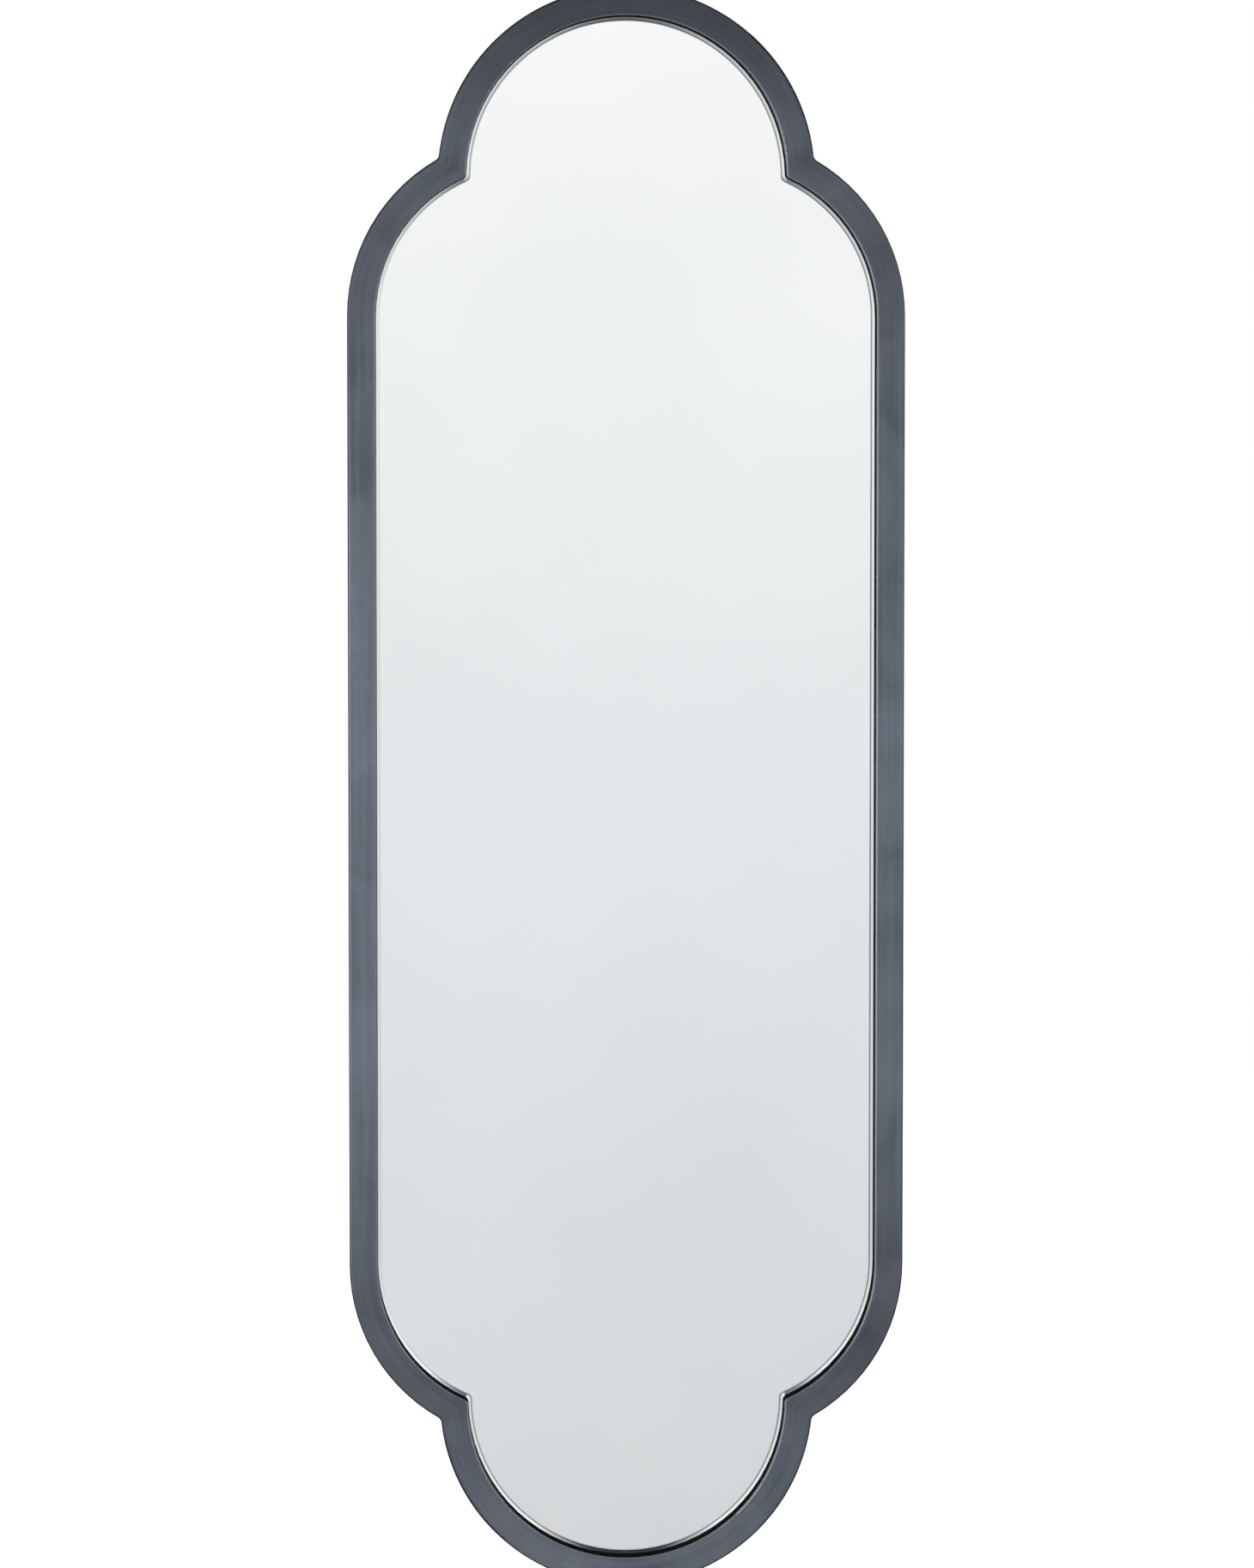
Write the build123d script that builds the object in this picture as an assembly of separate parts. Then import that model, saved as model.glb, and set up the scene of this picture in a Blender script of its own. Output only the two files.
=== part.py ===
"""A tall cusped wall mirror: a deep steel channel frame, silvered glass, backing board and hangers.

The mirror hangs flat on a wall. The wall is the plane Y = 0, the mirror faces -Y, X runs to the
right seen from the front, and Z is up. The origin is the centre of the outline, on the wall.

The outline is a tall rounded rectangle with a round lobe at the top and at the bottom. Where a
lobe meets a shoulder it makes a cusp. The frame is a channel: a face of flat bar, a strip bent
round the outside and a narrower strip bent round the opening, all mitred and welded at the cusps.
The bevelled glass is bonded to the board with tape and lies deep inside the opening, with a narrow
gap all round. The board is screwed to lugs in the channel. Two D-rings on folded straps hang the mirror,
and rubber bumpers touch the wall.

All sizes are in millimetres. An inset is measured inwards from the outline, and a stand-off is
measured from the wall.
"""

from build123d import *
from math import asin, cos, degrees, hypot, radians, sin
import os

# Outline
overall_width = 590.0
overall_height = 1700.0
lobe_radius = 199.0
shoulder_radius = 190.0
shoulder_height = 504.0
outline_cusp_radius = 7.0
opening_cusp_radius = 5.0

# Frame section
face_width = 30.0
face_thickness = 3.0
face_edge_radius = 2.4
band_thickness = 1.5
recess_depth = 21.0

# Glass and backing
glass_thickness = 4.0
glass_clearance = 0.5
bevel_width = 4.0
bevel_depth = 1.5
silver_thickness = 0.1
paint_thickness = 0.1
tape_thickness = 0.8
tape_width = 25.0
tape_length = 960.0
tape_pitch = 100.0
tape_count = 5
lobe_tape_length = 110.0
lobe_tape_pitch = 90.0
lobe_tape_count = 3
board_thickness = 9.0
board_clearance = 0.5

# Space behind the board, and the rubber bumpers that touch the wall
hanger_space = 10.0
rim_gap = 1.5
bumper_base_radius = 9.0
bumper_tip_radius = 7.0
bumper_edge_radius = 1.2
bumper_spacing_x = 500.0
bumper_spacing_z = 980.0

# Machine screws, shared by the board and the hangers
screw_radius = 2.0
screw_head_radius = 4.0
screw_head_height = 2.4
screw_head_bevel = 1.0
screw_end = 1.0
screw_clearance = 0.25
thread_clearance = 0.05
cross_span = 4.4
cross_slot = 1.0
cross_depth = 1.3

# Lugs welded in the channel, which the board screws pull on
lug_thickness = 2.0
lug_width = 22.0
lug_margin = 6.0
fixing_inset = 10.0
lobe_fixing_angles = (30.0, 90.0, 150.0)
shoulder_fixing_angle = 35.0
side_fixing_heights = (-320.0, 0.0, 320.0)

# Hangers: a welded plate, a strap folded round a D-ring's bar, and two screws on each side
hanger_inset = 16.5
hanger_height = 430.0
hanger_screw_drops = (12.5, 30.0)
hanger_plate_thickness = 3.0
hanger_plate_margin_x = 5.5
hanger_plate_margin_z = 10.0
strap_width = 16.0
strap_thickness = 1.2
strap_length = 38.0
strap_corner_radius = 3.0
strap_slit = 0.1
ring_wire_radius = 1.5
ring_width = 24.0
ring_leg = 4.0
ring_corner_radius = 3.0
ring_bore_clearance = 0.1
ring_rest_gap = 0.3

# Stand-offs from the wall
board_rear = hanger_space
board_front = board_rear + board_thickness
tape_front = board_front + tape_thickness
paint_front = tape_front + paint_thickness
silver_front = paint_front + silver_thickness
glass_front = silver_front + glass_thickness
face_front = glass_front + recess_depth
face_rear = face_front - face_thickness

# Centres and insets that follow from the sizes
lobe_height = overall_height / 2 - lobe_radius
shoulder_x = overall_width / 2 - shoulder_radius
glass_inset = face_width + glass_clearance
hanger_x = overall_width / 2 - hanger_inset
barrel_radius = ring_wire_radius + ring_bore_clearance + strap_thickness
ring_axis = board_rear - barrel_radius


def cusp_point(inset):
    """Where the lobe and the shoulder cross in the upper right quarter, at this inset."""
    lobe = lobe_radius - inset
    shoulder = shoulder_radius - inset
    rise = lobe_height - shoulder_height
    apart = hypot(shoulder_x, rise)
    along = (apart**2 + shoulder**2 - lobe**2) / (2 * apart)
    across = (shoulder**2 - along**2) ** 0.5
    x = shoulder_x - along * shoulder_x / apart + across * rise / apart
    z = shoulder_height + along * rise / apart + across * shoulder_x / apart
    return x, z


def outline(inset, cusp_radius):
    """The mirror's outline moved inwards, with its four cusps rounded, as a flat sketch."""
    body_height = 2 * (shoulder_height + shoulder_radius - inset)
    shape = RectangleRounded(overall_width - 2 * inset, body_height, shoulder_radius - inset)
    for side in (1, -1):
        shape += Pos(0, side * lobe_height) * Circle(lobe_radius - inset)
    x, z = cusp_point(inset)
    cusps = [
        vertex
        for vertex in shape.vertices()
        if hypot(abs(vertex.X) - x, abs(vertex.Y) - z) < cusp_radius / 10
    ]
    return fillet(cusps, cusp_radius)


def slab(sketch, rear, front):
    """A flat piece of this outline, from one stand-off to the other."""
    return Pos(0, -rear, 0) * extrude(Plane.XZ * sketch, front - rear)


def front_edges(solid, front):
    """The edges of a slab's front face."""
    return solid.edges().filter_by_position(Axis.Y, -front, -front)


def channel_inside():
    """The outline of the space inside the outer band."""
    return outline(band_thickness, outline_cusp_radius + band_thickness)


def face_ring():
    """The flat bar face, with its two front edges eased."""
    outer = outline(0, outline_cusp_radius)
    opening = outline(face_width, opening_cusp_radius)
    ring = slab(outer - opening, face_rear, face_front)
    return fillet(front_edges(ring, face_front), min(face_edge_radius, 0.9 * face_thickness))


def outer_band_ring():
    """The strip bent round the outside, from near the wall to the face."""
    return slab(outline(0, outline_cusp_radius) - channel_inside(), rim_gap, face_rear)


def inner_band_ring():
    """The strip bent round the opening, from the board to the face."""
    outer = outline(face_width - band_thickness, opening_cusp_radius - band_thickness)
    opening = outline(face_width, opening_cusp_radius)
    return slab(outer - opening, board_front, face_rear)


def mitred_regions():
    """The four parts that the frame is welded from, split along lines through the cusps."""
    outer_x, outer_z = cusp_point(0)
    inner_x, inner_z = cusp_point(face_width)
    slope = (outer_z - inner_z) / (outer_x - inner_x)
    meet = inner_z - slope * inner_x
    far_x = overall_width
    far_z = meet + slope * far_x
    end_z = max(far_z, overall_height)
    top_corners = [(0, meet), (far_x, far_z), (far_x, end_z), (-far_x, end_z), (-far_x, far_z)]
    right_corners = [(0, meet), (far_x, far_z), (far_x, -far_z), (0, -meet)]
    top = make_face(Polyline(*top_corners, close=True))
    right = make_face(Polyline(*right_corners, close=True))
    return {
        "top": top,
        "bottom": mirror(top, Plane.XZ),
        "right": right,
        "left": mirror(right, Plane.YZ),
    }


def frame_parts():
    """The face plates and the two bands, each cut into its four parts."""
    rings = {
        "face_plate": face_ring(),
        "outer_band": outer_band_ring(),
        "inner_band": inner_band_ring(),
    }
    parts = {}
    for place, region in mitred_regions().items():
        cutter = slab(region, 0, face_front)
        for name, ring in rings.items():
            parts[f"{name}_{place}"] = ring & cutter
    return parts


def opening_outline(inset):
    """The opening's outline moved further inwards, at an inset from the frame's outer edge."""
    return outline(inset, opening_cusp_radius + inset - face_width)


def glass_pane():
    """The mirror pane, a little smaller than the opening, with a narrow bevel round its front."""
    pane = slab(opening_outline(glass_inset), silver_front, glass_front)
    face = pane.faces().sort_by(Axis.Y)[0]
    depth = min(bevel_depth, 0.9 * glass_thickness)
    return chamfer(front_edges(pane, glass_front), bevel_width, depth, reference=face)


def silver_coat():
    """The silver on the back of the glass, out to its edge."""
    return slab(opening_outline(glass_inset), paint_front, silver_front)


def backing_paint():
    """The dark paint that covers the back of the silver."""
    return slab(opening_outline(glass_inset), tape_front, paint_front)


def centred_row(count, pitch):
    """Positions of equally spaced things about zero."""
    return [(n - (count - 1) / 2) * pitch for n in range(count)]


def tape_strips():
    """Foam tape strips that bond the painted glass to the board."""
    long_strip = Rectangle(tape_width, tape_length)
    short_strip = Rectangle(tape_width, lobe_tape_length)
    strips = [Pos(x, 0) * long_strip for x in centred_row(tape_count, tape_pitch)]
    for x in centred_row(lobe_tape_count, lobe_tape_pitch):
        strips.append(Pos(x, lobe_height) * short_strip)
        strips.append(Pos(x, -lobe_height) * short_strip)
    return Compound(children=[slab(strip, board_front, tape_front) for strip in strips])


def fixings():
    """Each board fixing as (x, z, angle), with the angle that faces the outer band."""
    places = []
    for side in (1, -1):
        reach = lobe_radius - fixing_inset
        for angle in lobe_fixing_angles:
            x = reach * cos(radians(angle))
            z = lobe_height + reach * sin(radians(angle))
            places.append((x, side * z, side * angle))
        reach = shoulder_radius - fixing_inset
        x = shoulder_x + reach * cos(radians(shoulder_fixing_angle))
        z = shoulder_height + reach * sin(radians(shoulder_fixing_angle))
        turn = side * shoulder_fixing_angle
        places += [(x, side * z, turn), (-x, side * z, 180 - turn)]
    x = overall_width / 2 - fixing_inset
    for height in side_fixing_heights:
        places += [(x, height, 0), (-x, height, 180)]
    return places


def fixing_lugs():
    """Small tapped plates welded to the inside of the outer band."""
    inside = channel_inside()
    length = lug_margin + 2 * fixing_inset
    plate = Pos(length / 2 - lug_margin, 0) * Rectangle(length, lug_width)
    plate -= Circle(screw_radius + thread_clearance)
    lugs = [Pos(x, z) * Rot(Z=angle) * plate & inside for x, z, angle in fixings()]
    return Compound(children=[slab(lug, board_front, board_front + lug_thickness) for lug in lugs])


def hanger_screw_places():
    """The hanger screws on the right as (x, z)."""
    return [(hanger_x, hanger_height - drop) for drop in hanger_screw_drops]


def hanger_plate():
    """The tapped plate on the right, welded in the channel, that carries a strap's screws."""
    low = hanger_height - max(hanger_screw_drops) - hanger_plate_margin_z
    high = hanger_height - min(hanger_screw_drops) + hanger_plate_margin_z
    near = hanger_x - hanger_plate_margin_x
    far = overall_width / 2 - band_thickness
    plate = Pos((near + far) / 2, (low + high) / 2) * Rectangle(far - near, high - low)
    for x, z in hanger_screw_places():
        plate -= Pos(x, z) * Circle(screw_radius + thread_clearance)
    return slab(plate, board_front, board_front + hanger_plate_thickness)


def back_board():
    """The backing board, with a hole for each screw."""
    edge = band_thickness + board_clearance
    board = outline(edge, outline_cusp_radius + edge)
    hole = Circle(screw_radius + screw_clearance)
    for x, z, _ in fixings():
        board -= Pos(x, z) * hole
    for x, z in hanger_screw_places():
        board -= Pos(x, z) * hole
        board -= Pos(-x, z) * hole
    return slab(board, board_rear, board_front)


def pan_screw(shank_length):
    """A pan-head screw that points to -Y, with the underside of its head at Y = 0."""
    head = extrude(Plane.XZ * Circle(screw_head_radius), -screw_head_height)
    rim = head.edges().filter_by_position(Axis.Y, screw_head_height, screw_head_height)
    head = chamfer(rim, min(screw_head_bevel, 0.9 * screw_head_height))
    for span_x, span_z in ((cross_span, cross_slot), (cross_slot, cross_span)):
        head -= Pos(0, screw_head_height, 0) * Box(span_x, 2 * cross_depth, span_z)
    return head + extrude(Plane.XZ * Circle(screw_radius), shank_length)


def board_screws():
    """The screws that pass through the board into the lugs."""
    screw = pan_screw(board_thickness + lug_thickness + screw_end)
    return Compound(children=[Pos(x, -board_rear, z) * screw for x, z, _ in fixings()])


def hanger_screws():
    """The screws that pass through the straps and the board into the hanger plates."""
    strap_stack = 2 * strap_thickness
    screw = pan_screw(strap_stack + board_thickness + hanger_plate_thickness + screw_end)
    seat = board_rear - strap_stack
    screws = []
    for x, z in hanger_screw_places():
        screws += [Pos(x, -seat, z) * screw, Pos(-x, -seat, z) * screw]
    return Compound(children=screws)


def hanger_strap():
    """A strip folded double round the D-ring's bar, with the bar's axis through the origin."""
    stack = 2 * strap_thickness
    profile = Circle(barrel_radius)
    profile += Pos(stack / 2 - barrel_radius, -strap_length / 2) * Rectangle(stack, strap_length)
    profile -= Circle(ring_wire_radius + ring_bore_clearance)
    slit = Rectangle(strap_slit, strap_length)
    profile -= Pos(strap_thickness - barrel_radius, -strap_length / 2) * slit
    strap = extrude(Plane.YZ * profile, strap_width / 2, both=True)
    ends = strap.edges().filter_by(Axis.Y).group_by(Axis.Z)[0]
    strap = fillet(ends, strap_corner_radius)
    hole = Rot(X=90) * Cylinder(screw_radius + screw_clearance, 4 * barrel_radius)
    for drop in hanger_screw_drops:
        strap -= Pos(0, 0, -drop) * hole
    return strap


def d_ring():
    """A closed wire ring: a straight bar on the X axis, two legs and a round bow above."""
    half = ring_width / 2
    corner = ring_corner_radius
    bow_height = ring_leg + corner
    loop = Wire(
        [
            Line((corner - half, 0), (half - corner, 0)),
            CenterArc((half - corner, corner), corner, -90, 90),
            Line((half, corner), (half, bow_height)),
            CenterArc((0, bow_height), half, 0, 180),
            Line((-half, bow_height), (-half, corner)),
            CenterArc((corner - half, corner), corner, 180, 90),
        ]
    )
    return sweep(Plane.YZ * Circle(ring_wire_radius), path=Plane.XZ * loop)


def ring_lean():
    """How far a D-ring leans forward until its bow is close to the board, in degrees."""
    bow_reach = ring_leg + ring_corner_radius + ring_width / 2
    room = barrel_radius - ring_wire_radius - ring_rest_gap
    return degrees(asin(room / bow_reach))


def hangers():
    """A plate, strap and D-ring for each side."""
    plate, strap, ring = hanger_plate(), hanger_strap(), Rot(X=ring_lean()) * d_ring()
    parts = {}
    for side, hand in (("left", -1), ("right", 1)):
        place = Pos(hand * hanger_x, -ring_axis, hanger_height)
        parts[f"hanger_plate_{side}"] = plate if hand > 0 else mirror(plate, Plane.YZ)
        parts[f"hanger_strap_{side}"] = place * strap
        parts[f"hanger_ring_{side}"] = place * ring
    return parts


def wall_bumpers():
    """Four tapered rubber bumpers on the board, which stand proud of the frame's rear rim."""
    bumper = loft([Circle(bumper_base_radius), Pos(0, 0, board_rear) * Circle(bumper_tip_radius)])
    tip = bumper.edges().filter_by_position(Axis.Z, board_rear, board_rear)
    bumper = Rot(X=-90) * fillet(tip, bumper_edge_radius)
    return Compound(
        children=[
            Pos(x, -board_rear, z) * bumper
            for x in centred_row(2, bumper_spacing_x)
            for z in centred_row(2, bumper_spacing_z)
        ]
    )


def build():
    """Every node's shape by name."""
    return {
        **frame_parts(),
        "mirror_glass": glass_pane(),
        "silver_coating": silver_coat(),
        "backing_paint": backing_paint(),
        "mounting_tape": tape_strips(),
        "back_board": back_board(),
        "fixing_lugs": fixing_lugs(),
        "board_screws": board_screws(),
        **hangers(),
        "hanger_screws": hanger_screws(),
        "wall_bumpers": wall_bumpers(),
    }


os.makedirs("parts", exist_ok=True)
for node, shape in build().items():
    export_step(shape, f"parts/{node}.step")
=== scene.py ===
"""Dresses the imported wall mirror: finishes, the silver film, a plain studio and the camera.

The frame faces -Y, X runs to the right and Z is up. The wall plane is Y = 0 and the origin is the
centre of the outline. Lengths are in metres, apart from those named _mm.
"""

import logging
import math
from dataclasses import dataclass, field
from enum import Enum

import bmesh
import bpy
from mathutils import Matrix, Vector


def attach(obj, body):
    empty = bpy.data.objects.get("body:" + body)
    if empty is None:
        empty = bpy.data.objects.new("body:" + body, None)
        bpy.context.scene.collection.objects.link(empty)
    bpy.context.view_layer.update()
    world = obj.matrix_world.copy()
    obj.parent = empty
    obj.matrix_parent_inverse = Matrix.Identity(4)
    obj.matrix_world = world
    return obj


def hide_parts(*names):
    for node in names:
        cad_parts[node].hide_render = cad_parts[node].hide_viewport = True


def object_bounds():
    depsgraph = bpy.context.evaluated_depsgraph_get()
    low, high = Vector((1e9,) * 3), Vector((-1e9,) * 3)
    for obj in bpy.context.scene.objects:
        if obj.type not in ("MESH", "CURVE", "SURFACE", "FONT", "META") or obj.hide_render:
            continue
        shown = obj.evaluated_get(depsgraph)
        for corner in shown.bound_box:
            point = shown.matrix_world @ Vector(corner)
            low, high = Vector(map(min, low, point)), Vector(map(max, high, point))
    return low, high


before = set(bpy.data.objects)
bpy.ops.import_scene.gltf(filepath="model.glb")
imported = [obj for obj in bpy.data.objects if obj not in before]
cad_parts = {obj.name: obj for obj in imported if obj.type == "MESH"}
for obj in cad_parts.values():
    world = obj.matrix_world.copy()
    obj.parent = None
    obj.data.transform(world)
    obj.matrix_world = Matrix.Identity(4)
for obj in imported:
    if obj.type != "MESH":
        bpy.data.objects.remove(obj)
CAD_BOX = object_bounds()
MM = 0.001
JOIN = 1e-6
NOISE_LOW, NOISE_HIGH = 0.35, 0.65
logging.basicConfig(level=logging.INFO, format="%(message)s")
log = logging.getLogger("wall_mirror")


class Place(Enum):
    """The four parts that the frame is welded from."""

    TOP = "top"
    BOTTOM = "bottom"
    LEFT = "left"
    RIGHT = "right"


class Hand(Enum):
    """The two hangers, as seen from the front."""

    LEFT = "left"
    RIGHT = "right"


def linear(hex_colour: str) -> tuple[float, float, float, float]:
    """Turns an sRGB hex colour to the linear values that a socket takes.

    Args:
        hex_colour: A colour such as "#5f6670".

    Returns:
        Linear red, green and blue, with an alpha of 1.
    """
    values = [int(hex_colour[i:i + 2], 16) / 255 for i in (1, 3, 5)]
    r, g, b = [v / 12.92 if v <= 0.04045 else ((v + 0.055) / 1.055) ** 2.4 for v in values]
    return (r, g, b, 1.0)


def add_node(tree: bpy.types.NodeTree, kind: str, inputs: dict | None = None,
             stops: tuple[tuple[float, str], ...] = (), **settings: object) -> bpy.types.Node:
    """Adds one shader node, with its settings and what goes into it.

    Args:
        tree: The node tree that gets the node.
        kind: Blender's name for the node, such as "ShaderNodeMath".
        inputs: Each input's name or number, with a value for its socket or a socket to link.
        stops: A colour ramp's positions and sRGB hex colours, in rising order.
        **settings: Properties of the node, such as operation="ADD".

    Returns:
        The new node.
    """
    node = tree.nodes.new(kind)
    for name, value in settings.items():
        setattr(node, name, value)
    for key, value in (inputs or {}).items():
        if isinstance(value, bpy.types.NodeSocket):
            tree.links.new(value, node.inputs[key])
        else:
            node.inputs[key].default_value = value
    for number, (position, colour) in enumerate(stops):
        elements = node.color_ramp.elements
        stop = elements[number] if number < len(elements) else elements.new(position)
        stop.position = position
        stop.color = linear(colour)
    return node


def new_material(name: str) -> tuple[bpy.types.Material, bpy.types.NodeTree, bpy.types.Node]:
    """Starts a material that holds one Principled shader.

    Args:
        name: The material's name.

    Returns:
        The material, its node tree and its shader.
    """
    material = bpy.data.materials.new(name)
    material.use_nodes = True
    tree = material.node_tree
    return material, tree, tree.nodes["Principled BSDF"]


def dress(node_name: str, material: bpy.types.Material) -> None:
    """Gives a CAD node one finish.

    Args:
        node_name: The node's name in the frame.
        material: The finish.
    """
    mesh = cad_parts[node_name].data
    mesh.materials.clear()
    mesh.materials.append(material)
    log.info("%s: %s", node_name, material.name)


@dataclass(frozen=True)
class Outline:
    """The mirror's outline, as the centres and radii of its round stretches.

    The blend rounds the inset where a lobe and a shoulder meet, so that a line drawn by the inset
    turns the cusp without a sharp point.
    """

    half_width: float = 0.295
    lobe_radius: float = 0.199
    lobe_height: float = 0.651
    shoulder_radius: float = 0.190
    shoulder_x: float = 0.105
    shoulder_height: float = 0.504
    cusp_blend: float = 7.5 * MM

    def cusp(self, inset: float) -> tuple[float, float]:
        """Where a lobe and a shoulder cross in the upper right quarter.

        Args:
            inset: How far inside the outline, in metres.

        Returns:
            The crossing's x and z.
        """
        rise = self.lobe_height - self.shoulder_height
        apart = math.hypot(self.shoulder_x, rise)
        lobe, shoulder = self.lobe_radius - inset, self.shoulder_radius - inset
        along = (apart ** 2 + shoulder ** 2 - lobe ** 2) / (2 * apart)
        across = math.sqrt(shoulder ** 2 - along ** 2)
        return ((across * rise - along * self.shoulder_x) / apart + self.shoulder_x,
                (along * rise + across * self.shoulder_x) / apart + self.shoulder_height)

    def mitre(self, tree: bpy.types.NodeTree, point: bpy.types.NodeSocket,
              bar_width: float) -> bpy.types.NodeSocket:
        """Works out how far a point lies from the nearest welded mitre.

        Args:
            tree: The node tree to add to.
            point: The point, in object coordinates.
            bar_width: The width of the face, in metres.

        Returns:
            The distance in metres.
        """
        outer, inner = Vector(self.cusp(0.0)), Vector(self.cusp(bar_width))
        along = (outer - inner).normalized()
        corner = add_node(tree, "ShaderNodeVectorMath", {0: point}, operation="ABSOLUTE").outputs[0]
        away = add_node(tree, "ShaderNodeVectorMath", {0: corner, 1: (outer.x, 0.0, outer.y)},
                        operation="SUBTRACT").outputs[0]
        across = add_node(tree, "ShaderNodeVectorMath", {0: away, 1: (-along.y, 0.0, along.x)},
                          operation="DOT_PRODUCT").outputs["Value"]
        return add_node(tree, "ShaderNodeMath", {0: across}, operation="ABSOLUTE").outputs[0]

    def inset(self, tree: bpy.types.NodeTree, point: bpy.types.NodeSocket) -> bpy.types.NodeSocket:
        """Works out how far inside the outline a point lies, so that streaks follow the bar.

        Args:
            tree: The node tree to add to.
            point: The point, in object coordinates.

        Returns:
            The inset in metres, from 0 at the outer edge.
        """
        split = add_node(tree, "ShaderNodeSeparateXYZ", {0: point}).outputs
        x = add_node(tree, "ShaderNodeMath", {0: split["X"]}, operation="ABSOLUTE").outputs[0]
        z = add_node(tree, "ShaderNodeMath", {0: split["Z"]}, operation="ABSOLUTE").outputs[0]
        insets = []
        for centre_x, centre_z, radius, clamped in (
                (self.shoulder_x, self.shoulder_height, self.shoulder_radius, True),
                (0.0, self.lobe_height, self.lobe_radius, False)):
            away = [add_node(tree, "ShaderNodeMath", {0: side, 1: centre}, operation="SUBTRACT").outputs[0]
                    for side, centre in ((x, centre_x), (z, centre_z))]
            if clamped:
                away = [add_node(tree, "ShaderNodeMath", {0: side, 1: 0.0}, operation="MAXIMUM").outputs[0]
                        for side in away]
            both = add_node(tree, "ShaderNodeCombineXYZ", {"X": away[0], "Y": away[1]}).outputs[0]
            length = add_node(tree, "ShaderNodeVectorMath", {0: both}, operation="LENGTH").outputs["Value"]
            insets.append(add_node(tree, "ShaderNodeMath", {0: radius, 1: length},
                                   operation="SUBTRACT").outputs[0])
        return add_node(tree, "ShaderNodeMath", {0: insets[0], 1: insets[1], 2: self.cusp_blend},
                        operation="SMOOTH_MAX").outputs[0]


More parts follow.
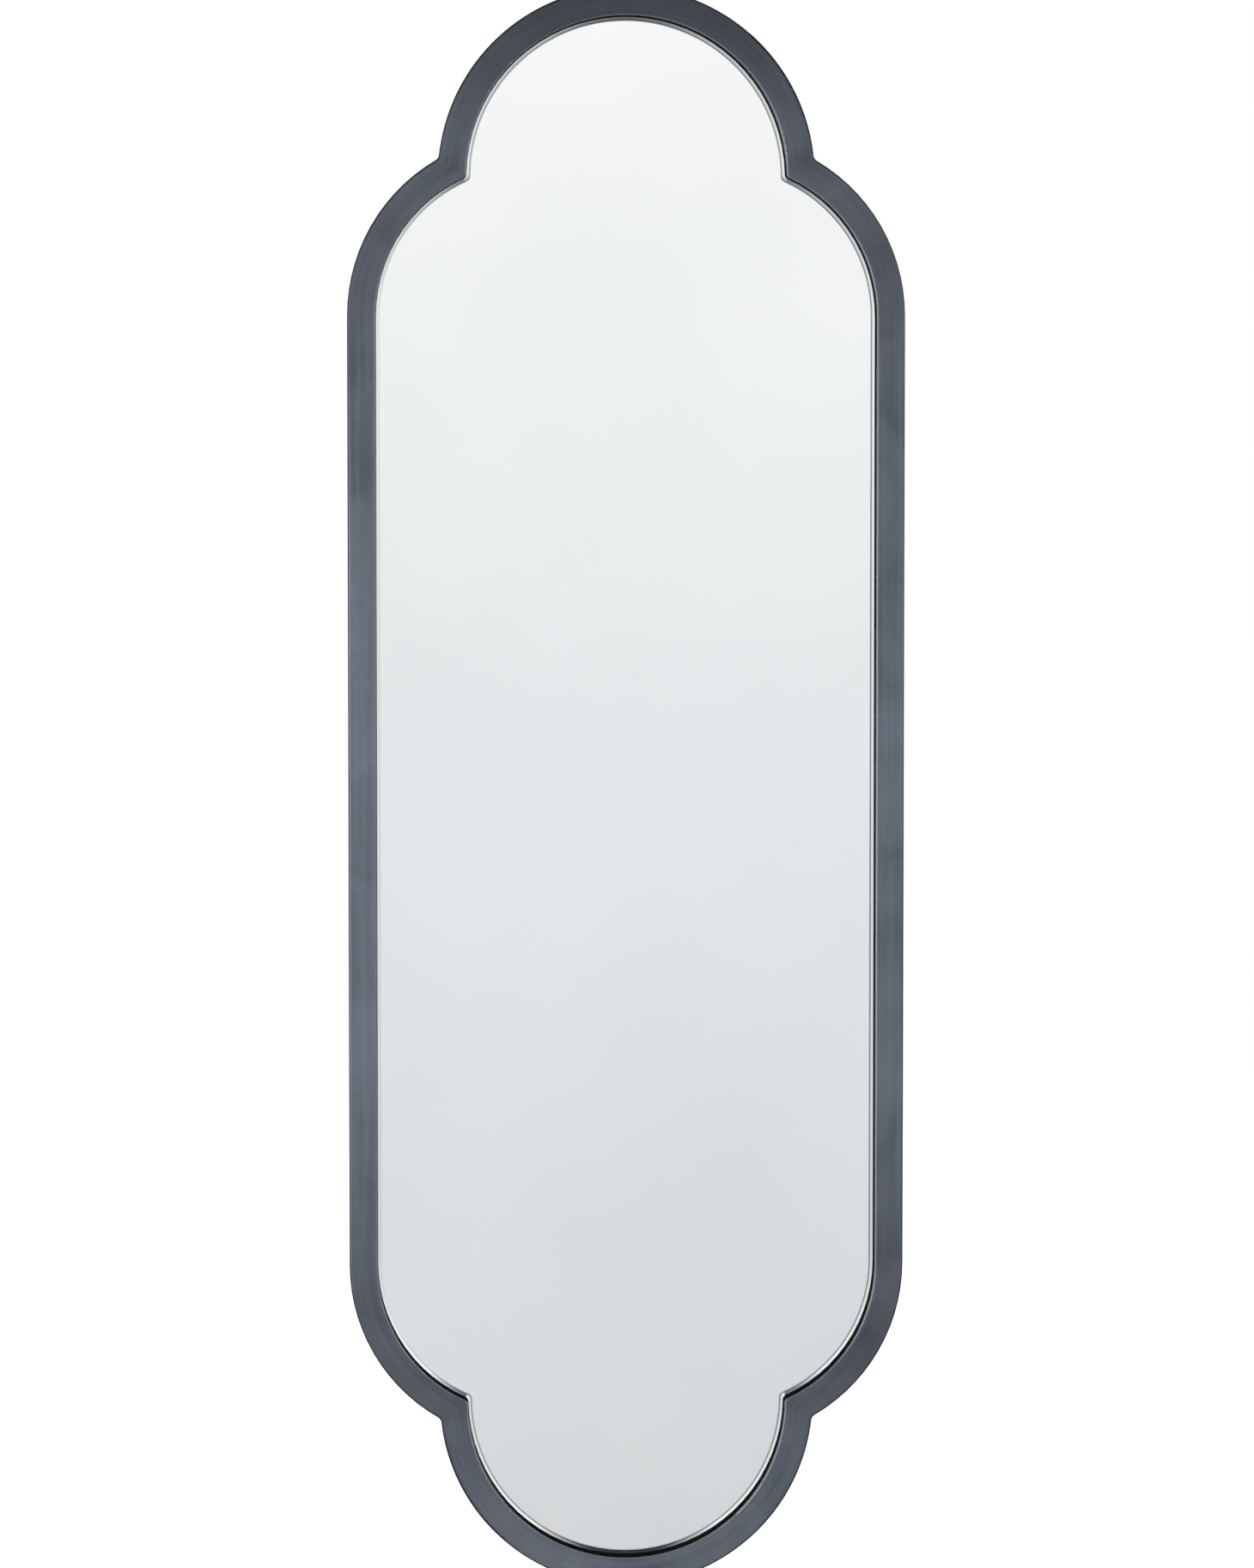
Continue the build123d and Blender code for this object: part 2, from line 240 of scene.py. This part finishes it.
@dataclass(frozen=True)
class GunmetalPatina:
    """Mild steel, blackened by hand and sealed with satin lacquer.

    The patina is wiped on along the bar, so the eye sees long faint streaks that follow the
    outline and cloudy patches of lighter and darker grey. It took darker at the welds. Painted
    shade darkens it by height, most at the top lobe and less at the shoulders. A painted
    highlight runs along the eased edge next to the glass, and painted shade darkens the outer
    edge and the side walls. The lacquer gives a soft sheen.
    """

    name: str = "gunmetal_patina_on_steel"
    tones: tuple[tuple[float, str], ...] = ((0.0, "#343940"), (0.32, "#4f5661"), (0.5, "#636a75"),
                                            (0.68, "#707783"))
    # Painted shade by height, bottom (0) to top (1): darkest at the top lobe, darker at the shoulders.
    painted_shade_by_height: tuple[tuple[float, str], ...] = ((0.02, "#fdfdfd"), (0.14, "#d3d3d3"), (0.33, "#fafafa"),
                                              (0.55, "#ffffff"), (0.76, "#efefef"), (0.84, "#cfcfcf"),
                                              (0.91, "#e6e6e6"), (0.98, "#adadad"))
    # Painted highlight on the inner eased edge; painted shade on the outer edge and the walls.
    painted_highlight_colour: str = "#9a9da3"
    painted_highlight_share: float = 0.7
    painted_edge_shade: str = "#adadad"
    eased_from: float = 0.985
    eased_to: float = 0.80
    wall_limit: float = 0.3
    metallic: float = 0.55
    roughness: float = 0.40
    roughness_swing: float = 0.05
    swing_span: tuple[float, float] = (0.3, 0.7)
    bar_width: float = 0.030
    half_height: float = 0.85
    streak_mm: float = 6.3
    cloud_mm: float = 90.0
    grain_mm: float = 0.5
    weld_mm: float = 14.0
    weld_shade: float = 0.05
    streak_stretch: float = 3.0
    streak_share: float = 0.45
    streak_relief: float = 0.5
    bump: float = 0.08
    bump_mm: float = 0.05

    def material(self, outline: Outline) -> bpy.types.Material:
        """Builds the finish.

        Args:
            outline: The outline that the streaks follow.

        Returns:
            The material.
        """
        material, tree, shader = new_material(self.name)
        coords = add_node(tree, "ShaderNodeTexCoord").outputs
        point = add_node(tree, "ShaderNodeMapping", {"Vector": coords["Object"]}).outputs[0]
        inset = outline.inset(tree, point)
        streaks = self.streaks(tree, point, inset)
        clouds = add_node(tree, "ShaderNodeTexNoise", {"Vector": point, "Scale": 1 / (self.cloud_mm * MM),
                                                       "Detail": 4.0, "Roughness": 0.55,
                                                       "Distortion": 0.6}).outputs["Fac"]
        grain = add_node(tree, "ShaderNodeTexNoise", {"Vector": point, "Scale": 1 / (self.grain_mm * MM),
                                                      "Detail": 2.0}).outputs["Fac"]
        wiped = add_node(tree, "ShaderNodeMix", {"Factor": self.streak_share, "A": clouds, "B": streaks},
                         data_type="FLOAT").outputs["Result"]
        weld = add_node(tree, "ShaderNodeMapRange",
                        {"Value": outline.mitre(tree, point, self.bar_width), "From Max": self.weld_mm * MM,
                         "To Min": self.weld_shade, "To Max": 0.0},
                        interpolation_type="SMOOTHSTEP").outputs["Result"]
        tone = add_node(tree, "ShaderNodeMath", {0: wiped, 1: weld}, operation="SUBTRACT").outputs[0]
        colour = add_node(tree, "ShaderNodeValToRGB", {"Fac": tone}, self.tones).outputs["Color"]
        # Painted shade by height, then painted highlight and shade on the edges.
        colour = self.edges(tree, self.paint_height_shade(tree, colour, point), coords["Normal"], inset)
        tree.links.new(colour, shader.inputs["Base Color"])
        rough = add_node(tree, "ShaderNodeMapRange", {"Value": wiped, "From Min": self.swing_span[0],
                                                      "From Max": self.swing_span[1],
                                                      "To Min": self.roughness - self.roughness_swing,
                                                      "To Max": self.roughness + self.roughness_swing})
        tree.links.new(rough.outputs["Result"], shader.inputs["Roughness"])
        relief = add_node(tree, "ShaderNodeMix", {"Factor": self.streak_relief, "A": streaks, "B": grain},
                          data_type="FLOAT").outputs["Result"]
        bump = add_node(tree, "ShaderNodeBump", {"Strength": self.bump, "Distance": self.bump_mm * MM,
                                                 "Height": relief}).outputs["Normal"]
        tree.links.new(bump, shader.inputs["Normal"])
        shader.inputs["Metallic"].default_value = self.metallic
        return material

    def streaks(self, tree: bpy.types.NodeTree, point: bpy.types.NodeSocket,
                inset: bpy.types.NodeSocket) -> bpy.types.NodeSocket:
        """Draws the wiped streaks, narrow across the bar and long along it.

        Args:
            tree: The node tree to add to.
            point: The point, in object coordinates.
            inset: How far inside the outline the point lies.

        Returns:
            The streaks' strength, from 0 to 1.
        """
        split = add_node(tree, "ShaderNodeSeparateXYZ", {0: point}).outputs
        long_mm = self.streak_stretch * self.cloud_mm
        lane, *slow = [add_node(tree, "ShaderNodeMath", {0: value, 1: 1 / (size_mm * MM)},
                                operation="MULTIPLY").outputs[0]
                       for value, size_mm in ((inset, self.streak_mm), (split["X"], long_mm),
                                              (split["Z"], long_mm))]
        lanes = add_node(tree, "ShaderNodeCombineXYZ", {"X": lane, "Y": slow[0], "Z": slow[1]}).outputs[0]
        return add_node(tree, "ShaderNodeTexNoise", {"Vector": lanes, "Scale": 1.0, "Detail": 3.0,
                                                     "Roughness": 0.6}).outputs["Fac"]

    def paint_height_shade(self, tree: bpy.types.NodeTree, colour: bpy.types.NodeSocket,
               point: bpy.types.NodeSocket) -> bpy.types.NodeSocket:
        """Darkens the colour by height with painted shade, most at the top lobe.

        Args:
            tree: The node tree to add to.
            colour: The colour so far.
            point: The point, in object coordinates.

        Returns:
            The darkened colour.
        """
        height = add_node(tree, "ShaderNodeSeparateXYZ", {0: point}).outputs["Z"]
        share = add_node(tree, "ShaderNodeMapRange", {"Value": height, "From Min": -self.half_height,
                                                      "From Max": self.half_height}).outputs["Result"]
        shade = add_node(tree, "ShaderNodeValToRGB", {"Fac": share}, self.painted_shade_by_height).outputs["Color"]
        return add_node(tree, "ShaderNodeMix", {0: 1.0, 6: colour, 7: shade}, data_type="RGBA",
                        blend_type="MULTIPLY").outputs[2]

    def edges(self, tree: bpy.types.NodeTree, colour: bpy.types.NodeSocket, normal: bpy.types.NodeSocket,
              inset: bpy.types.NodeSocket) -> bpy.types.NodeSocket:
        """Paints a highlight on the inner eased edge, and paints shade on the outer edge and the side walls.

        Args:
            tree: The node tree to add to.
            colour: The colour so far.
            normal: The surface's normal, in object coordinates.
            inset: How far inside the outline the point lies.

        Returns:
            The colour with its painted edge highlight and shade.
        """
        forward = add_node(tree, "ShaderNodeSeparateXYZ", {0: normal}).outputs["Y"]
        facing = add_node(tree, "ShaderNodeMath", {0: forward}, operation="ABSOLUTE").outputs[0]
        eased = add_node(tree, "ShaderNodeMapRange", {"Value": facing, "From Min": self.eased_from,
                                                      "From Max": self.eased_to}).outputs["Result"]
        inner = add_node(tree, "ShaderNodeMath", {0: inset, 1: self.bar_width / 2},
                         operation="GREATER_THAN").outputs[0]
        face = add_node(tree, "ShaderNodeMath", {0: facing, 1: self.wall_limit},
                        operation="GREATER_THAN").outputs[0]
        highlit = add_node(tree, "ShaderNodeMath", {0: inner, 1: face}, operation="MULTIPLY").outputs[0]
        # Painted highlight on the inner eased edge; painted shade on the outer edge and the side walls.
        light = add_node(tree, "ShaderNodeMath", {0: eased, 1: highlit}, operation="MULTIPLY").outputs[0]
        dark = add_node(tree, "ShaderNodeMath", {0: eased, 1: light}, operation="SUBTRACT").outputs[0]
        share = add_node(tree, "ShaderNodeMath", {0: light, 1: self.painted_highlight_share},
                         operation="MULTIPLY").outputs[0]
        highlighted = add_node(tree, "ShaderNodeMix", {0: share, 6: colour, 7: linear(self.painted_highlight_colour)},
                        data_type="RGBA").outputs[2]
        return add_node(tree, "ShaderNodeMix", {0: dark, 6: highlighted, 7: linear(self.painted_edge_shade)},
                        data_type="RGBA", blend_type="MULTIPLY").outputs[2]


@dataclass(frozen=True)
class FloatGlass:
    """Clear float glass with a polished bevel and a ground edge.

    The face and the bevel are clear, so the bevel shows the room a little shifted. A painted
    reflection draws a dark line where the bevel starts, and the silver doubles it. The painted
    line fades towards the left. The edge that hides in the gap is ground.
    """

    name: str = "float_glass_polished_bevel"
    haze: tuple[tuple[float, str], ...] = ((NOISE_LOW, "#fbfcfc"), (NOISE_HIGH, "#fefefe"))
    haze_mm: float = 400.0
    ior: float = 1.52
    ground_roughness: float = 0.5
    ground_swing: float = 0.1
    grit_mm: float = 0.8
    edge_limit: float = 0.3
    # Painted reflection: a dark line where the bevel starts, fading towards the left.
    painted_line_dark: str = "#33373c"
    line_inset_mm: float = 34.2
    line_half_mm: float = 0.75
    painted_line_strength: float = 0.95
    painted_line_fade_x: tuple[float, float] = (-0.262, -0.17)
    painted_line_fade_share: float = 0.15

    def material(self, outline: Outline) -> bpy.types.Material:
        """Builds the finish.

        Args:
            outline: The outline that the bevel's painted dark line follows.

        Returns:
            The material.
        """
        material, tree, shader = new_material(self.name)
        coords = add_node(tree, "ShaderNodeTexCoord").outputs
        point = add_node(tree, "ShaderNodeMapping", {"Vector": coords["Object"]}).outputs[0]
        forward = add_node(tree, "ShaderNodeSeparateXYZ", {0: coords["Normal"]}).outputs["Y"]
        facing = add_node(tree, "ShaderNodeMath", {0: forward}, operation="ABSOLUTE").outputs[0]
        ground = add_node(tree, "ShaderNodeMath", {0: facing, 1: self.edge_limit},
                          operation="LESS_THAN").outputs[0]
        grit = add_node(tree, "ShaderNodeTexNoise", {"Vector": point, "Scale": 1 / (self.grit_mm * MM),
                                                     "Detail": 3.0}).outputs["Fac"]
        frost = add_node(tree, "ShaderNodeMapRange",
                         {"Value": grit, "To Min": self.ground_roughness - self.ground_swing,
                          "To Max": self.ground_roughness + self.ground_swing})
        rough = add_node(tree, "ShaderNodeMath", {0: ground, 1: frost.outputs["Result"]},
                         operation="MULTIPLY").outputs[0]
        tree.links.new(rough, shader.inputs["Roughness"])
        haze = add_node(tree, "ShaderNodeTexNoise", {"Vector": point, "Scale": 1 / (self.haze_mm * MM),
                                                     "Detail": 3.0}).outputs["Fac"]
        colour = add_node(tree, "ShaderNodeValToRGB", {"Fac": haze}, self.haze).outputs["Color"]
        inset = outline.inset(tree, point)
        # Painted reflection line along the bevel's start, fading towards the left.
        sideways = add_node(tree, "ShaderNodeSeparateXYZ", {0: point}).outputs["X"]
        faint = add_node(tree, "ShaderNodeMapRange", {"Value": sideways, "From Min": self.painted_line_fade_x[0],
                                                      "From Max": self.painted_line_fade_x[1],
                                                      "To Min": self.painted_line_fade_share}).outputs["Result"]
        apart = add_node(tree, "ShaderNodeMath", {0: inset, 1: self.line_inset_mm * MM},
                         operation="SUBTRACT").outputs[0]
        away = add_node(tree, "ShaderNodeMath", {0: apart}, operation="ABSOLUTE").outputs[0]
        line = add_node(tree, "ShaderNodeMapRange", {"Value": away, "From Max": self.line_half_mm * MM,
                                                     "To Min": self.painted_line_strength, "To Max": 0.0},
                        interpolation_type="SMOOTHSTEP").outputs["Result"]
        share = add_node(tree, "ShaderNodeMath", {0: line, 1: faint}, operation="MULTIPLY").outputs[0]
        colour = add_node(tree, "ShaderNodeMix", {0: share, 6: colour, 7: linear(self.painted_line_dark)},
                          data_type="RGBA").outputs[2]
        tree.links.new(colour, shader.inputs["Base Color"])
        shader.inputs["Transmission Weight"].default_value = 1.0
        shader.inputs["IOR"].default_value = self.ior
        return material


@dataclass(frozen=True)
class Silvering:
    """Silver deposited on glass: a bright mirror with the faintest unevenness."""

    name: str = "mirror_silver"
    tints: tuple[tuple[float, str], ...] = ((NOISE_LOW, "#f8f8f8"), (NOISE_HIGH, "#fbfbfb"))
    haze_mm: float = 400.0

    def material(self) -> bpy.types.Material:
        """Builds the finish.

        Returns:
            The material.
        """
        material, tree, shader = new_material(self.name)
        point = add_node(tree, "ShaderNodeTexCoord").outputs["Object"]
        haze = add_node(tree, "ShaderNodeTexNoise", {"Vector": point, "Scale": 1 / (self.haze_mm * MM),
                                                     "Detail": 3.0}).outputs["Fac"]
        colour = add_node(tree, "ShaderNodeValToRGB", {"Fac": haze}, self.tints).outputs["Color"]
        tree.links.new(colour, shader.inputs["Base Color"])
        shader.inputs["Metallic"].default_value = 1.0
        shader.inputs["Roughness"].default_value = 0.0
        return material


@dataclass(frozen=True)
class Speckled:
    """A matt finish with fine speckle, for paint, foam, board and rubber."""

    name: str
    dark: str
    light: str
    grain_mm: float
    roughness: float
    bump: float = 0.1
    metallic: float = 0.0
    stretch: tuple[float, float, float] = (1.0, 1.0, 1.0)
    specular: float = 0.5
    bump_mm: float = 0.1

    def material(self) -> bpy.types.Material:
        """Builds the finish.

        Returns:
            The material.
        """
        material, tree, shader = new_material(self.name)
        point = add_node(tree, "ShaderNodeTexCoord").outputs["Object"]
        placed = add_node(tree, "ShaderNodeMapping", {"Vector": point, "Scale": self.stretch}).outputs[0]
        grain = add_node(tree, "ShaderNodeTexNoise", {"Vector": placed, "Scale": 1 / (self.grain_mm * MM),
                                                      "Detail": 5.0, "Roughness": 0.65}).outputs["Fac"]
        colour = add_node(tree, "ShaderNodeValToRGB", {"Fac": grain},
                          ((NOISE_LOW, self.dark), (NOISE_HIGH, self.light))).outputs["Color"]
        tree.links.new(colour, shader.inputs["Base Color"])
        bump = add_node(tree, "ShaderNodeBump", {"Strength": self.bump, "Distance": self.bump_mm * MM,
                                                 "Height": grain}).outputs["Normal"]
        tree.links.new(bump, shader.inputs["Normal"])
        shader.inputs["Roughness"].default_value = self.roughness
        shader.inputs["Metallic"].default_value = self.metallic
        shader.inputs["Specular IOR Level"].default_value = self.specular
        return material


# Dark grey protective paint, sprayed: flat, with a fine orange peel.
BACKING_PAINT = Speckled("mirror_back_paint", "#25272a", "#2f3135", 1.5, 0.6)
# Closed-cell foam tape, cut from a roll: chalky white with tiny cells.
FOAM_TAPE = Speckled("closed_cell_foam", "#c4c4bf", "#d6d6d1", 0.8, 0.9)
# Near-black matt finish on the inside walls of the opening, with almost no shine.
INNER_WALL_BLACK = Speckled("near_black_inner_wall", "#0d0f11", "#15171a", 1.2, 0.8, 0.05, specular=0.08)
# MDF, sanded and unpainted: even light brown with short fibres.
MDF = Speckled("sanded_mdf", "#9a7b57", "#b5946c", 1.6, 0.8, 0.25, stretch=(1.0, 1.0, 0.35))
# Zinc plate on pressed steel and wire: bright grey with a soft bloom.
ZINC = Speckled("bright_zinc_plate", "#a4a8ab", "#c3c6c8", 3.0, 0.28, 0.05, metallic=1.0)
# Moulded black rubber: matt, with a faint bloom.
RUBBER = Speckled("moulded_rubber", "#17181a", "#242527", 2.0, 0.7)


@dataclass
class ChannelFrame:
    """The welded channel: face plates, outer band, inner band and the plates inside."""

    outline: Outline = field(default_factory=Outline)
    patina: GunmetalPatina = field(default_factory=GunmetalPatina)

    def build(self) -> None:
        """Dresses every steel piece of the channel."""
        patina = self.patina.material(self.outline)
        inner_black = INNER_WALL_BLACK.material()
        for place in Place:
            dress(f"face_plate_{place.value}", patina)
            dress(f"outer_band_{place.value}", patina)
            dress(f"inner_band_{place.value}", inner_black)
        dress("fixing_lugs", patina)
        for hand in Hand:
            dress(f"hanger_plate_{hand.value}", patina)


@dataclass
class MirrorPack:
    """The pane with its silver and paint, the tape and the board."""

    outline: Outline = field(default_factory=Outline)
    glass: FloatGlass = field(default_factory=FloatGlass)
    silver: Silvering = field(default_factory=Silvering)
    bite: float = 0.05 * MM

    def build(self) -> None:
        """Dresses every layer behind and round the glass, and lays the silver on it."""
        dress("mirror_glass", self.glass.material(self.outline))
        self.silver_film()
        for node, finish in (("backing_paint", BACKING_PAINT), ("mounting_tape", FOAM_TAPE),
                             ("back_board", MDF)):
            dress(node, finish.material())

    def silver_film(self) -> None:
        """Lays the silver a hair inside the back of the glass, so that no two faces coincide."""
        shape = bmesh.new()
        shape.from_mesh(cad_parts["silver_coating"].data)
        bmesh.ops.remove_doubles(shape, verts=shape.verts, dist=JOIN)
        bmesh.ops.recalc_face_normals(shape, faces=shape.faces)
        for vert in shape.verts:
            side = Vector((vert.normal.x, 0.0, vert.normal.z)).normalized()
            vert.co -= side * self.bite
        bmesh.ops.translate(shape, verts=shape.verts, vec=(0.0, -self.bite, 0.0))
        mesh = bpy.data.meshes.new("silver_film")
        shape.to_mesh(mesh)
        shape.free()
        mesh.materials.append(self.silver.material())
        piece = bpy.data.objects.new("silver_film", mesh)
        bpy.context.scene.collection.objects.link(piece)
        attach(piece, "mirror")
        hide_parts("silver_coating")
        log.info("silver_film: %d faces", len(mesh.polygons))


@dataclass
class WallHardware:
    """The straps, D-rings, screws and bumpers on the back."""

    def build(self) -> None:
        """Dresses the hardware."""
        zinc = ZINC.material()
        for hand in Hand:
            dress(f"hanger_strap_{hand.value}", zinc)
            dress(f"hanger_ring_{hand.value}", zinc)
        dress("board_screws", zinc)
        dress("hanger_screws", zinc)
        dress("wall_bumpers", RUBBER.material())


@dataclass(frozen=True)
class Softbox:
    """One square softbox: where it stands, its side in metres and its power in watts."""

    name: str
    place: tuple[float, float, float]
    side: float
    power: float


@dataclass
class Studio:
    """A pale floor, soft lamps, and a bright wall across the room that the mirror shows.

    The wall opposite is a band of light that fades from white above to pale grey below. Its place
    along the ramp is the upward part of the direction plus a half. The ceiling, the near floor and
    the sides of the room are darker, as the bevel and the rounded edges of the frame show.
    """

    floor_drop: float = 0.10
    floor_size: float = 60.0
    floor_glow: float = 0.36
    floor_colour: str = "#f4f4f4"
    lamps: tuple[Softbox, ...] = (Softbox("key_softbox", (-1.9, -2.3, -0.15), 1.2, 38.0),
                                  Softbox("fill_softbox", (3.4, -3.4, 1.2), 2.0, 40.0),
                                  Softbox("rear_softbox", (1.5, 4.0, 2.4), 2.4, 70.0))
    ambient: float = 0.72
    wall: tuple[tuple[float, str], ...] = (
        (0.09, "#1c1e21"), (0.15, "#5a5d62"), (0.21, "#bdc1c5"), (0.325, "#d7d9db"), (0.395, "#dfe2e5"),
        (0.479, "#eceff0"), (0.5495, "#f7f8f8"), (0.65, "#ffffff"), (0.71, "#3c3e42"), (0.85, "#1c1e21"))
    wall_strength: float = 1.05
    side_strength: float = 0.35
    rear_strength: float = 0.85
    wall_middle: float = 0.5
    front_reach: tuple[float, float] = (-0.85, -0.2)
    rear_reach: tuple[float, float] = (0.3, 0.9)

    def build(self) -> None:
        """Makes the world, the floor and the lamps."""
        self.world()
        self.floor()
        for softbox in self.lamps:
            self.lamp(softbox)

    def world(self) -> None:
        """Makes the surround: white to the camera, and the room to everything else."""
        world = bpy.data.worlds.new("studio_surround")
        bpy.context.scene.world = world
        world.use_nodes = True
        tree = world.node_tree
        tree.nodes.clear()
        direction = add_node(tree, "ShaderNodeTexCoord").outputs["Generated"]
        split = add_node(tree, "ShaderNodeSeparateXYZ", {0: direction}).outputs
        height = add_node(tree, "ShaderNodeMath", {0: split["Z"], 1: self.wall_middle},
                          operation="ADD").outputs[0]
        wall = add_node(tree, "ShaderNodeValToRGB", {"Fac": height}, self.wall).outputs["Color"]
        front = add_node(tree, "ShaderNodeMapRange", {"Value": split["Y"], "From Min": self.front_reach[0],
                                                      "From Max": self.front_reach[1],
                                                      "To Min": self.wall_strength,
                                                      "To Max": self.side_strength},
                         interpolation_type="SMOOTHSTEP").outputs["Result"]
        rear = add_node(tree, "ShaderNodeMapRange", {"Value": split["Y"], "From Min": self.rear_reach[0],
                                                     "From Max": self.rear_reach[1],
                                                     "To Min": 0.0, "To Max": self.rear_strength},
                        interpolation_type="SMOOTHSTEP").outputs["Result"]
        both = add_node(tree, "ShaderNodeMath", {0: front, 1: rear}, operation="MAXIMUM").outputs[0]
        lit = add_node(tree, "ShaderNodeBackground", {"Color": wall, "Strength": both}).outputs[0]
        plain_light = add_node(tree, "ShaderNodeBackground", {"Color": linear("#ffffff"),
                                                              "Strength": self.ambient}).outputs[0]
        white = add_node(tree, "ShaderNodeBackground", {"Color": linear("#ffffff"), "Strength": 1.0}).outputs[0]
        path = add_node(tree, "ShaderNodeLightPath").outputs
        mirrored = add_node(tree, "ShaderNodeMath", {0: path["Is Glossy Ray"], 1: path["Is Transmission Ray"]},
                            operation="MAXIMUM").outputs[0]
        soft = add_node(tree, "ShaderNodeMixShader", {0: mirrored, 1: plain_light, 2: lit}).outputs[0]
        seen = add_node(tree, "ShaderNodeMixShader", {0: path["Is Camera Ray"], 1: soft, 2: white}).outputs[0]
        add_node(tree, "ShaderNodeOutputWorld", {"Surface": seen})

    def floor(self) -> None:
        """Makes the pale floor below the mirror, which keeps the mirror's shadow."""
        shape = bmesh.new()
        bmesh.ops.create_grid(shape, x_segments=1, y_segments=1, size=self.floor_size / 2)
        bmesh.ops.translate(shape, verts=shape.verts, vec=(0.0, 0.0, CAD_BOX[0][2] - self.floor_drop))
        mesh = bpy.data.meshes.new("studio_floor")
        shape.to_mesh(mesh)
        shape.free()
        floor = bpy.data.objects.new("studio_floor", mesh)
        bpy.context.scene.collection.objects.link(floor)
        material, tree, shader = new_material("studio_floor_white")
        shader.inputs["Base Color"].default_value = linear(self.floor_colour)
        shader.inputs["Roughness"].default_value = 1.0
        shader.inputs["Specular IOR Level"].default_value = 0.0
        path = add_node(tree, "ShaderNodeLightPath").outputs
        tree.links.new(path["Is Camera Ray"], shader.inputs["Emission Strength"])
        shader.inputs["Emission Color"].default_value = (*3 * (self.floor_glow,), 1.0)
        mesh.materials.append(material)
        floor.visible_glossy = False
        floor.visible_transmission = False

    def lamp(self, softbox: Softbox) -> None:
        """Adds one soft lamp that points at the mirror and isn't seen in it.

        Args:
            softbox: The lamp's place, size and power.
        """
        data = bpy.data.lights.new(softbox.name, "AREA")
        data.shape = "SQUARE"
        data.size = softbox.side
        data.energy = softbox.power
        lamp = bpy.data.objects.new(softbox.name, data)
        lamp.location = softbox.place
        lamp.rotation_euler = (-Vector(softbox.place)).to_track_quat("-Z", "Y").to_euler()
        lamp.visible_camera = False
        lamp.visible_transmission = False
        bpy.context.scene.collection.objects.link(lamp)


@dataclass
class PhotographCamera:
    """The camera at the photograph's angle: a little left of the mirror and above its centre."""

    place: tuple[float, float, float] = (-0.26, -6.5, 0.40)
    aim: tuple[float, float, float] = (0.0004, -0.045, 0.0089)
    view_width: float = 1.3302
    sensor_mm: float = 36.0
    sight: float = 100.0

    def build(self) -> None:
        """Makes the camera and sets it as the scene's own."""
        data = bpy.data.cameras.new("photograph_camera")
        away = Vector(self.aim) - Vector(self.place)
        data.sensor_fit = "HORIZONTAL"
        data.sensor_width = self.sensor_mm
        data.lens = self.sensor_mm * away.length / self.view_width
        data.clip_end = self.sight
        camera = bpy.data.objects.new("photograph_camera", data)
        camera.location = self.place
        camera.rotation_euler = away.to_track_quat("-Z", "Y").to_euler()
        bpy.context.scene.collection.objects.link(camera)
        bpy.context.scene.camera = camera


def main() -> None:
    """Builds the camera, the studio and every part of the mirror."""
    bpy.context.scene.view_settings.view_transform = "Standard"
    PhotographCamera().build()
    Studio().build()
    ChannelFrame().build()
    MirrorPack().build()
    WallHardware().build()


if __name__ == "__main__":
    main()
